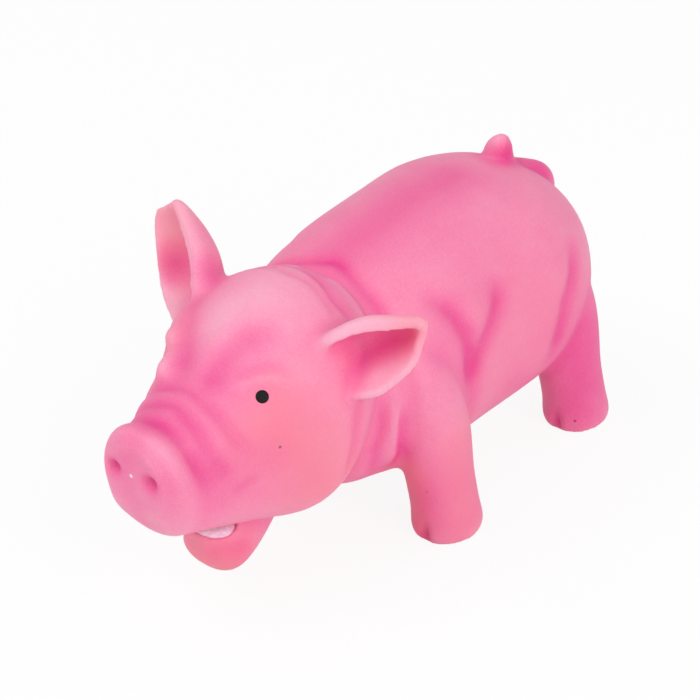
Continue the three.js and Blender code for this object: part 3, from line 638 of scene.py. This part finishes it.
# Latex: a matte natural rubber, coloured pink right through and sprayed a deeper pink in its hollows.
# The eye sees a soft, dry pink that clouds over a centimetre or so, with fine droplets and hardly any shine.


def colour(code):
    """An sRGB hex value as linear red, green, blue and alpha."""
    shares = [int(code[place : place + 2], 16) / 255 for place in (1, 3, 5)]
    return [share / 12.92 if share <= 0.04045 else ((share + 0.055) / 1.055) ** 2.4 for share in shares] + [1]


def add_node(material, kind, links=None, **settings):
    """Adds a node, sets its properties and sockets, and links its inputs."""
    node = material.node_tree.nodes.new(kind)
    for key, value in settings.items():
        if hasattr(node, key):
            setattr(node, key, value)
        else:
            node.inputs[key.replace("_", " ")].default_value = value
    for socket, source in (links or {}).items():
        material.node_tree.links.new(source, node.inputs[socket])
    return node


def new_material(name, **settings):
    """A material with constants set on its shader's own sockets."""
    material = bpy.data.materials.new(name)
    material.use_nodes = True
    for key, value in settings.items():
        material.node_tree.nodes["Principled BSDF"].inputs[key.replace("_", " ")].default_value = value
    return material


def feed(material, socket, source):
    """Links a node's output to a socket of the material's shader."""
    material.node_tree.links.new(source, material.node_tree.nodes["Principled BSDF"].inputs[socket])


# Through some patches the deep and warm pinks also paint shade, and the pale pink a highlight.
PALE_PINK, MIDDLE_PINK, DEEP_PINK, WARM_PINK = "#f9b1c9", "#f580aa", "#ea3d8f", "#f6838f"
MIDDLE_SPRAY = 0.45  # the spray that gives the middle pink
CLOUD = 0.014  # metres across a cloud of the spray
CLOUD_STRENGTH = 0.04
DROPLET = 0.0007  # metres across a droplet of the spray, drawn coarser than real, to show
DROPLET_STRENGTH = 0.05
NOISE_LOW, NOISE_HIGH = 0.3, 0.7  # most of a noise lies between these
MIX_A, MIX_B, MIX_RESULT = 6, 7, 2  # a mix node's sockets for colours
PIT, SPECK = "#6e2440", "#fbeef2"  # a blown bubble that holds dirt, and a small pale spot
MARK_EDGE = 1.6  # times the radius, where a mark has faded out
MARK_STRENGTH = 0.75
MARKS = [
    ((39.3, -11.2, 22.1), 0.36, PIT),
    ((26.4, -68.8, 63.6), 0.34, PIT),
    ((39.5, 75.9, 5.7), 0.4, PIT),
    ((-1, -105.2, 60.5), 0.5, SPECK),
]

latex = new_material("cast_latex_pink", Roughness=0.52, Subsurface_Weight=0.1, Subsurface_Scale=0.004)
place = add_node(latex, "ShaderNodeTexCoord")
spray_and_light_attribute = add_node(latex, "ShaderNodeAttribute", attribute_name="spray_and_painted_light")
clouds, droplets = (
    add_node(latex, "ShaderNodeTexNoise", {"Vector": place.outputs["Object"]}, Scale=1 / size, Detail=detail)
    for size, detail in ((CLOUD, 3), (DROPLET, 1))
)
spotted = spray_and_light_attribute.outputs["Fac"]
for pattern, strength in ((clouds, CLOUD_STRENGTH), (droplets, DROPLET_STRENGTH)):
    uneven = add_node(
        latex,
        "ShaderNodeMapRange",
        {"Value": pattern.outputs["Fac"]},
        From_Min=NOISE_LOW,
        From_Max=NOISE_HIGH,
        To_Min=-strength,
        To_Max=strength,
    )
    added = add_node(latex, "ShaderNodeMath", {0: spotted, 1: uneven.outputs["Result"]})
    spotted = added.outputs["Value"]
pinks = add_node(latex, "ShaderNodeValToRGB", {"Fac": spotted})
pinks.color_ramp.elements[0].color = colour(PALE_PINK)
pinks.color_ramp.elements[1].color = colour(DEEP_PINK)
pinks.color_ramp.elements.new(MIDDLE_SPRAY).color = colour(MIDDLE_PINK)
warmth_and_shade_attribute = add_node(latex, "ShaderNodeAttribute", attribute_name="warmth_and_painted_shade")
skin_colour = add_node(
    latex,
    "ShaderNodeMix",
    {"Factor": warmth_and_shade_attribute.outputs["Fac"], MIX_A: pinks.outputs["Color"]},
    data_type="RGBA",
)
skin_colour.inputs[MIX_B].default_value = colour(WARM_PINK)
painted = skin_colour.outputs[MIX_RESULT]
for mark, radius, mark_colour in MARKS:
    away = add_node(latex, "ShaderNodeVectorMath", {0: place.outputs["Object"]}, operation="DISTANCE")
    away.inputs[1].default_value = Vector(mark) * MM
    inside = add_node(
        latex,
        "ShaderNodeMapRange",
        {"Value": away.outputs["Value"]},
        From_Min=radius * MM,
        From_Max=MARK_EDGE * radius * MM,
        To_Min=MARK_STRENGTH,
        To_Max=0,
    )
    marked = add_node(
        latex, "ShaderNodeMix", {"Factor": inside.outputs["Result"], MIX_A: painted}, data_type="RGBA"
    )
    marked.inputs[MIX_B].default_value = colour(mark_colour)
    painted = marked.outputs[MIX_RESULT]
feed(latex, "Base Color", painted)
pores = add_node(latex, "ShaderNodeBump", {"Height": droplets.outputs["Fac"]}, Strength=0.12, Distance=0.0002)
feed(latex, "Normal", pores.outputs["Normal"])
casting.data.materials.clear()
casting.data.materials.append(latex)

# Skin pieces: the casting is divided where it bends, along planes.
# The torso, head, back and legs are hollow walls, and the ears, jaw and tail tip are solid latex.
# Every piece is shaded as the whole casting was, so no seam shows.

WALL = 2.4
casting.data.attributes.new("facing", "FLOAT_VECTOR", "POINT").data.foreach_set(
    "vector", facings_of(casting.data).ravel()
)


def middles_of(mesh):
    """The middles of a mesh's faces, in millimetres."""
    flat = np.empty(len(mesh.polygons) * 3)
    mesh.polygons.foreach_get("center", flat)
    return flat.reshape(-1, 3) / MM


def choose_faces(piece, chosen):
    """Opens a piece in edit mode with these faces selected."""
    bpy.ops.object.select_all(action="DESELECT")
    bpy.context.view_layer.objects.active = piece
    piece.select_set(True)
    bpy.ops.object.mode_set(mode="EDIT")
    bpy.ops.mesh.select_mode(type="FACE")
    bpy.ops.mesh.select_all(action="DESELECT")
    bpy.ops.object.mode_set(mode="OBJECT")
    piece.data.polygons.foreach_set("select", chosen)
    bpy.ops.object.mode_set(mode="EDIT")


def part_off(name, cut, direction, path, radius):
    """Cuts off what lies beyond a plane and within a radius of a path."""
    axis = np.array(direction, float)
    near = [np.array(spot, float) for spot in path]
    choose_faces(casting, distance_to(middles_of(casting.data), near)[0] < radius)
    bpy.ops.mesh.bisect(plane_co=Vector(cut) * MM, plane_no=direction)
    bpy.ops.object.mode_set(mode="OBJECT")
    middles = middles_of(casting.data)
    beyond = (middles - np.array(cut, float)) @ axis > 0
    choose_faces(casting, beyond & (distance_to(middles, near)[0] < radius))
    bpy.ops.mesh.separate(type="SELECTED")
    bpy.ops.object.mode_set(mode="OBJECT")
    piece = next(chosen for chosen in bpy.context.selected_objects if chosen is not casting)
    piece.name = name
    return piece


def keep_facing(piece, outer):
    """Shades a piece as the casting was shaded. Points after the outer ones belong to the inner wall."""
    flat = np.empty(len(piece.data.vertices) * 3)
    piece.data.attributes["facing"].data.foreach_get("vector", flat)
    facings = flat.reshape(-1, 3)
    facings /= np.linalg.norm(facings, axis=1)[:, None]
    facings[outer:] *= -1
    piece.data.normals_split_custom_set_from_vertices(facings.tolist())
    piece.data.attributes.remove(piece.data.attributes["facing"])


def finish_skin(piece, node, hollow):
    """Gives a hollow piece its wall, or closes the cut of a solid one, and hides the node it stands for."""
    outer = len(piece.data.vertices)
    bpy.ops.object.select_all(action="DESELECT")
    bpy.context.view_layer.objects.active = piece
    piece.select_set(True)
    if hollow:
        bpy.ops.object.modifier_add(type="SOLIDIFY")
        piece.modifiers[-1].thickness = WALL * MM
        piece.modifiers[-1].offset = -1
        bpy.ops.object.modifier_apply(modifier=piece.modifiers[-1].name)
    else:
        bpy.ops.object.mode_set(mode="EDIT")
        bpy.ops.mesh.select_mode(type="VERT")
        bpy.ops.mesh.select_all(action="DESELECT")
        bpy.ops.mesh.select_non_manifold()
        bpy.ops.mesh.edge_face_add()
        bpy.ops.object.mode_set(mode="OBJECT")
    keep_facing(piece, outer)
    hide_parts(node)


JAW_CUT = Vector((0, -70, 27))
JAW_HANGS = Vector((0, -0.585, -0.811))
jaw_latex = part_off("lower_jaw_latex", JAW_CUT, JAW_HANGS, [(0, -66, 14)], radius=21)
finish_skin(jaw_latex, "lower_jaw", hollow=False)
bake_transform(jaw_latex)

EAR_CUT = 4
EAR_BEND = 9
EAR_TIP = 30
for node, side in (("left_ear", LEFT), ("right_ear", RIGHT)):
    root, cut, bend, tip = (
        mirrored(ear_place(side, reach, 0, 0), side) for reach in (0, EAR_CUT, EAR_CUT + EAR_BEND, EAR_TIP)
    )
    ear_latex = part_off(node + "_latex", cut, (bend - cut).normalized(), [root, tip], radius=17)
    finish_skin(ear_latex, node, hollow=False)
    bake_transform(ear_latex)

TAIL_CUT = Vector((0, 79, 98.6))
tail_latex = part_off("tail_latex", TAIL_CUT, (0, 0, 1), [(0, 79.2, 99), (2, 78.4, 105)], radius=7.4)
finish_skin(tail_latex, "tail", hollow=False)
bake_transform(tail_latex)

BACK_CUT = Vector((0, 35, 96.35))
BACK_RISES = Vector((0, -0.05, 0.9987))
back_latex = part_off("back_latex", BACK_CUT, BACK_RISES, [(0, 10, 99), (0, 50, 100)], radius=24.5)
finish_skin(back_latex, "back_pad", hollow=True)
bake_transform(back_latex)

LEG_CUT = 18
for node, (x, y, _) in LEGS.items():
    leg_latex = part_off(node + "_latex", (x, y, LEG_CUT), (0, 0, -1), [(x, y, 2), (x, y, 16)], radius=19)
    finish_skin(leg_latex, node, hollow=True)
    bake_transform(leg_latex)

NECK_CUT = (0, -24, 60)
head_latex = part_off("head_latex", NECK_CUT, (0, -1, 0), [(0, -105, 60), (0, 0, 60)], radius=100)
finish_skin(head_latex, "head_skin", hollow=True)
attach(head_latex, "body")

middles = middles_of(casting.data)
from_hole = np.hypot(middles[:, 0], middles[:, 1] - SOUNDER_Y)
in_hole = (middles[:, 2] > SEAT_HEIGHT + WALL) & (middles[:, 2] < HOLE_TOP + VOXEL)
choose_faces(casting, in_hole & (from_hole < HOLE_DIAMETER / 2 + VOXEL))
bpy.ops.mesh.delete(type="FACE")
bpy.ops.object.mode_set(mode="OBJECT")
casting.name = "torso_latex"
finish_skin(casting, "torso_skin", hollow=True)
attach(casting, "body")

# Tongue: a pale lilac pad of latex in the floor of the mouth, grooved along its middle.
# It is cast with the jaw.

TONGUE = [
    (-79.4, 3, 24.8, 27),
    (-77, 6.4, 23, 28.4),
    (-73, 8.5, 22, 29),
    (-67, 7.6, 22.4, 28),
    (-62.5, 3, 23.4, 26),
]
TONGUE_GROOVE = 0.9
TONGUE_GROOVE_WIDTH = 1.6
TONGUE_MIDDLE = 25.5  # height above which the groove is pressed in
BUD = 0.0015  # metres across

tongue = extrude_form("tongue_latex", lengthways(TONGUE), turn=ACROSS)
for corner in tongue.data.vertices:
    if corner.co.z > TONGUE_MIDDLE * MM:
        corner.co.z -= TONGUE_GROOVE * MM * math.exp(-((corner.co.x / MM / TONGUE_GROOVE_WIDTH) ** 2))
bpy.ops.object.modifier_add(type="SUBSURF")
tongue.modifiers[-1].levels = 1
tongue.modifiers[-1].render_levels = 1
bpy.ops.object.modifier_apply(modifier=tongue.modifiers[-1].name)
bpy.ops.object.shade_smooth()


def mottle(material, size, detail, dark, light, strength=0, height=0):
    """Gives a material two tones, in blots that may stand up in relief, and returns the blots and the tones.

    The size of the blots and the height of the relief are in metres.
    """
    place = add_node(material, "ShaderNodeTexCoord")
    blots = add_node(
        material, "ShaderNodeTexNoise", {"Vector": place.outputs["Object"]}, Scale=1 / size, Detail=detail
    )
    tones = add_node(material, "ShaderNodeValToRGB", {"Fac": blots.outputs["Fac"]})
    tones.color_ramp.elements[0].color = colour(dark)
    tones.color_ramp.elements[1].color = colour(light)
    feed(material, "Base Color", tones.outputs["Color"])
    if height:
        relief = {"Strength": strength, "Distance": height}
        raised = add_node(material, "ShaderNodeBump", {"Height": blots.outputs["Fac"]}, **relief)
        feed(material, "Normal", raised.outputs["Normal"])
    return blots, tones


# Cast latex with a lilac tint: the eye sees a pale, moist pad with small rough buds.
lilac = new_material("cast_latex_lilac", Roughness=0.35, Subsurface_Weight=0.15, Subsurface_Scale=0.003)
_, lilacs = mottle(lilac, BUD, detail=2, dark="#f0bcd8", light="#fadfec", strength=0.3, height=0.0003)
lilacs.color_ramp.elements[0].position = NOISE_LOW
lilacs.color_ramp.elements[1].position = NOISE_HIGH
tongue.data.materials.append(lilac)
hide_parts("tongue")
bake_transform(tongue)

# Eyes: drops of thick black latex paint, put on by hand, that dry as low domes on the skin.
# The eye sees a flat black with faint brush marks and hardly any shine.

EYE_RINGS = [(-1, 1.9), (-0.2, 2.06), (0.1, 2), (0.24, 1.6), (0.32, 1.0), (0.35, 0.3)]  # height and radius
BRUSH_MARK = 0.001  # metres across


def set_at(place, direction):
    """A place, and a turn of the own Z axis to a direction."""
    return Matrix.Translation(place) @ Vector(direction).to_track_quat("Z", "Y").to_matrix().to_4x4()


eye_paint = new_material("black_latex_paint", Roughness=0.55, Specular_IOR_Level=0.2)
mottle(eye_paint, BRUSH_MARK, detail=2, dark="#0e0c0e", light="#1c191c", strength=0.15, height=0.0002)
for node in ("left_eye", "right_eye"):
    low, high = (np.array(corner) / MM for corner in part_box(node))
    nearest = ((skin - (low + high) / 2) ** 2).sum(axis=1).argmin()
    rings = [(np.array([0, 0, height]), np.array([radius, radius, 1])) for height, radius in EYE_RINGS]
    eye = extrude_form(node + "_paint", rings)
    bpy.ops.object.shade_smooth()
    eye.data.transform(set_at(Vector(skin[nearest]) * MM, facing[nearest]))
    eye.data.materials.append(eye_paint)
    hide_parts(node)
    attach(eye, "body")

# Sounder: a moulded plastic barrel clipped through the belly. It holds the reed, its clip and block, a felt
# and a vented cap. Their shapes are the CAD's own. Only the flange shows, in the seat under the belly.

FLOW_MARK = 0.006  # metres across, as the two below
DRAWING_MARK = 0.002
FELT_TUFT = 0.0005

# Moulded ABS: the eye sees a warm white, faintly clouded by its flow, with a dull shine.
abs_white = new_material("moulded_abs_white", Roughness=0.38)
mottle(abs_white, FLOW_MARK, detail=3, dark="#e2dfd6", light="#f2f0ea")

# Drawn polyester film: the eye sees a glossy amber with faint marks.
reed_film = new_material("polyester_film_amber", Roughness=0.22)
mottle(reed_film, DRAWING_MARK, detail=2, dark="#cfa55a", light="#e0bf7c")

# Pressed wool felt: the eye sees warm grey, matted tufts, drawn coarser than real to show, and no shine.
felt = new_material("pressed_wool_felt", Roughness=0.95)
mottle(felt, FELT_TUFT, detail=4, dark="#b9b3a7", light="#dcd8cf", strength=0.5, height=0.0003)

SOUNDER_FINISHES = {
    "sounder_barrel": abs_white,
    "sounder_cap": abs_white,
    "reed_block": abs_white,
    "reed_clip": abs_white,
    "reed": reed_film,
    "felt_filter": felt,
}
for node, finish in SOUNDER_FINISHES.items():
    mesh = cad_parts[node].data
    mesh.materials.clear()
    mesh.materials.append(finish)

# Wadding: loose polyester fibre, stuffed by hand into the torso round the sounder and into the skull.
# Each is a plump form with lumps a few millimetres high.

WADDING_GAP = 4.5
WADDING_VOXEL = 2
LUMP = 0.022  # metres across
LUMP_HEIGHT = 0.003
LUMP_LEVEL = 0.9  # share of the height that goes inwards
SOUNDER_ROOM = 32
SOUNDER_ROOM_TOP = 48
STRAND = 0.0012  # metres across
STRAND_TANGLE = 2.5

# Spun polyester fibre: the eye sees white, tangled strands, drawn coarser than real so that they show.
fibre = new_material("polyester_fibre_white", Roughness=0.95, Sheen_Weight=0.3)
strands, _ = mottle(fibre, STRAND, detail=5, dark="#dedad0", light="#faf8f2", strength=0.7, height=0.0008)
strands.inputs["Distortion"].default_value = STRAND_TANGLE

lumps = bpy.data.textures.new("wadding_lumps", "CLOUDS")
lumps.noise_scale = LUMP


def wadding(name, node, stations, first, last):
    """The stuffing between two rings of a form, a little smaller all round, with lumps."""
    rings = [
        (centre, np.array([half[0] - WADDING_GAP, 1, half[2] - WADDING_GAP]))
        for centre, half in lengthways(stations)
        if first <= centre[1] <= last and min(half[0], half[2]) > 2 * WADDING_GAP
    ]
    stuffing = extrude_form(name, rings, turn=ACROSS)
    bpy.ops.object.modifier_add(type="REMESH")
    stuffing.modifiers[-1].mode = "VOXEL"
    stuffing.modifiers[-1].voxel_size = WADDING_VOXEL * MM
    bpy.ops.object.modifier_apply(modifier=stuffing.modifiers[-1].name)
    bpy.ops.object.modifier_add(type="DISPLACE")
    stuffing.modifiers[-1].texture = lumps
    stuffing.modifiers[-1].strength = LUMP_HEIGHT
    stuffing.modifiers[-1].mid_level = LUMP_LEVEL
    bpy.ops.object.modifier_apply(modifier=stuffing.modifiers[-1].name)
    bpy.ops.object.shade_smooth()
    stuffing.data.materials.clear()
    stuffing.data.materials.append(fibre)
    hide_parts(node)
    return stuffing


head_stuffing = wadding("head_stuffing", "head_wadding", HEAD, first=-98, last=-26)
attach(head_stuffing, "body")
body_stuffing = wadding("body_stuffing", "body_wadding", TORSO, first=-18, last=99)
bpy.ops.object.select_all(action="DESELECT")
bpy.ops.mesh.primitive_cylinder_add(
    vertices=SIDES,
    radius=SOUNDER_ROOM / 2 * MM,
    depth=SOUNDER_ROOM_TOP * MM,
    location=(0, SOUNDER_Y * MM, SOUNDER_ROOM_TOP / 2 * MM),
)
room = bpy.context.object
carve(body_stuffing, room)
bpy.data.objects.remove(room)
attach(body_stuffing, "body")
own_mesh(body_stuffing)

# Camera, floor and light: the photograph's view from the pig's left front, on a floor painted plain white.
# The eye sees white all round and only a faint shadow. Two soft lamps and an even sky light the pig.

CAMERA_PLACE = Vector((391.59, -486.18, 430.75)) * MM
CAMERA_BACK = Vector((0.53943, -0.66614, 0.51504))
FOCAL_LENGTH = 113.14  # millimetres, as the sensor
SENSOR_WIDTH = 36
FLOOR_SIZE = 6  # metres
FLOOR_GLOW = 0.9  # share of plain white that the eye sees, so that only a faint shadow is left
SKY_LIGHT = 0.6  # share of plain white that falls on the pig

lens = bpy.data.cameras.new("camera")
lens.lens = FOCAL_LENGTH
lens.sensor_width = SENSOR_WIDTH
camera = bpy.data.objects.new("camera", lens)
bpy.context.scene.collection.objects.link(camera)
camera.matrix_world = set_at(CAMERA_PLACE, CAMERA_BACK)
bpy.context.scene.camera = camera

bpy.ops.object.select_all(action="DESELECT")
bpy.ops.mesh.primitive_plane_add(size=FLOOR_SIZE)
floor = bpy.context.object
floor.name = "floor"
floor_paint = new_material("white_floor_paint", Base_Color=colour("#fafafa"), Roughness=0.9)
seen = add_node(floor_paint, "ShaderNodeLightPath")
mirrored_rays = add_node(
    floor_paint,
    "ShaderNodeMath",
    {0: seen.outputs["Is Glossy Ray"], 1: seen.outputs["Is Transmission Ray"]},
    operation="MAXIMUM",
)
seen_rays = add_node(
    floor_paint,
    "ShaderNodeMath",
    {0: seen.outputs["Is Camera Ray"], 1: mirrored_rays.outputs["Value"]},
    operation="MAXIMUM",
)
share = add_node(floor_paint, "ShaderNodeMath", {0: seen_rays.outputs["Value"]}, operation="MULTIPLY")
share.inputs[1].default_value = FLOOR_GLOW
glow = add_node(floor_paint, "ShaderNodeEmission", Strength=1)
floor_look = add_node(
    floor_paint,
    "ShaderNodeMixShader",
    {
        0: share.outputs["Value"],
        1: floor_paint.node_tree.nodes["Principled BSDF"].outputs["BSDF"],
        2: glow.outputs["Emission"],
    },
)
floor_paint.node_tree.links.new(
    floor_look.outputs["Shader"], floor_paint.node_tree.nodes["Material Output"].inputs["Surface"]
)
floor.data.materials.append(floor_paint)

world = bpy.data.worlds.new("studio")
bpy.context.scene.world = world
world.use_nodes = True
world.node_tree.nodes["Background"].inputs["Color"].default_value = colour("#ffffff")
rays = add_node(world, "ShaderNodeLightPath")
sky = add_node(
    world, "ShaderNodeMapRange", {"Value": rays.outputs["Is Camera Ray"]}, To_Min=SKY_LIGHT, To_Max=1
)
world.node_tree.links.new(sky.outputs["Result"], world.node_tree.nodes["Background"].inputs["Strength"])


def soft_lamp(name, place, power, size):
    """A square lamp that shines on the origin, with its power in watts and its place and size in metres."""
    lamp = bpy.data.lights.new(name, "AREA")
    lamp.energy = power
    lamp.size = size
    holder = bpy.data.objects.new(name, lamp)
    bpy.context.scene.collection.objects.link(holder)
    holder.matrix_world = set_at(place, place)


soft_lamp("key", place=(-0.5, -0.7, 1.2), power=6.6, size=0.9)
soft_lamp("fill", place=(1.2, -0.3, 0.8), power=7.4, size=1.0)

bpy.context.scene.view_settings.view_transform = "Standard"
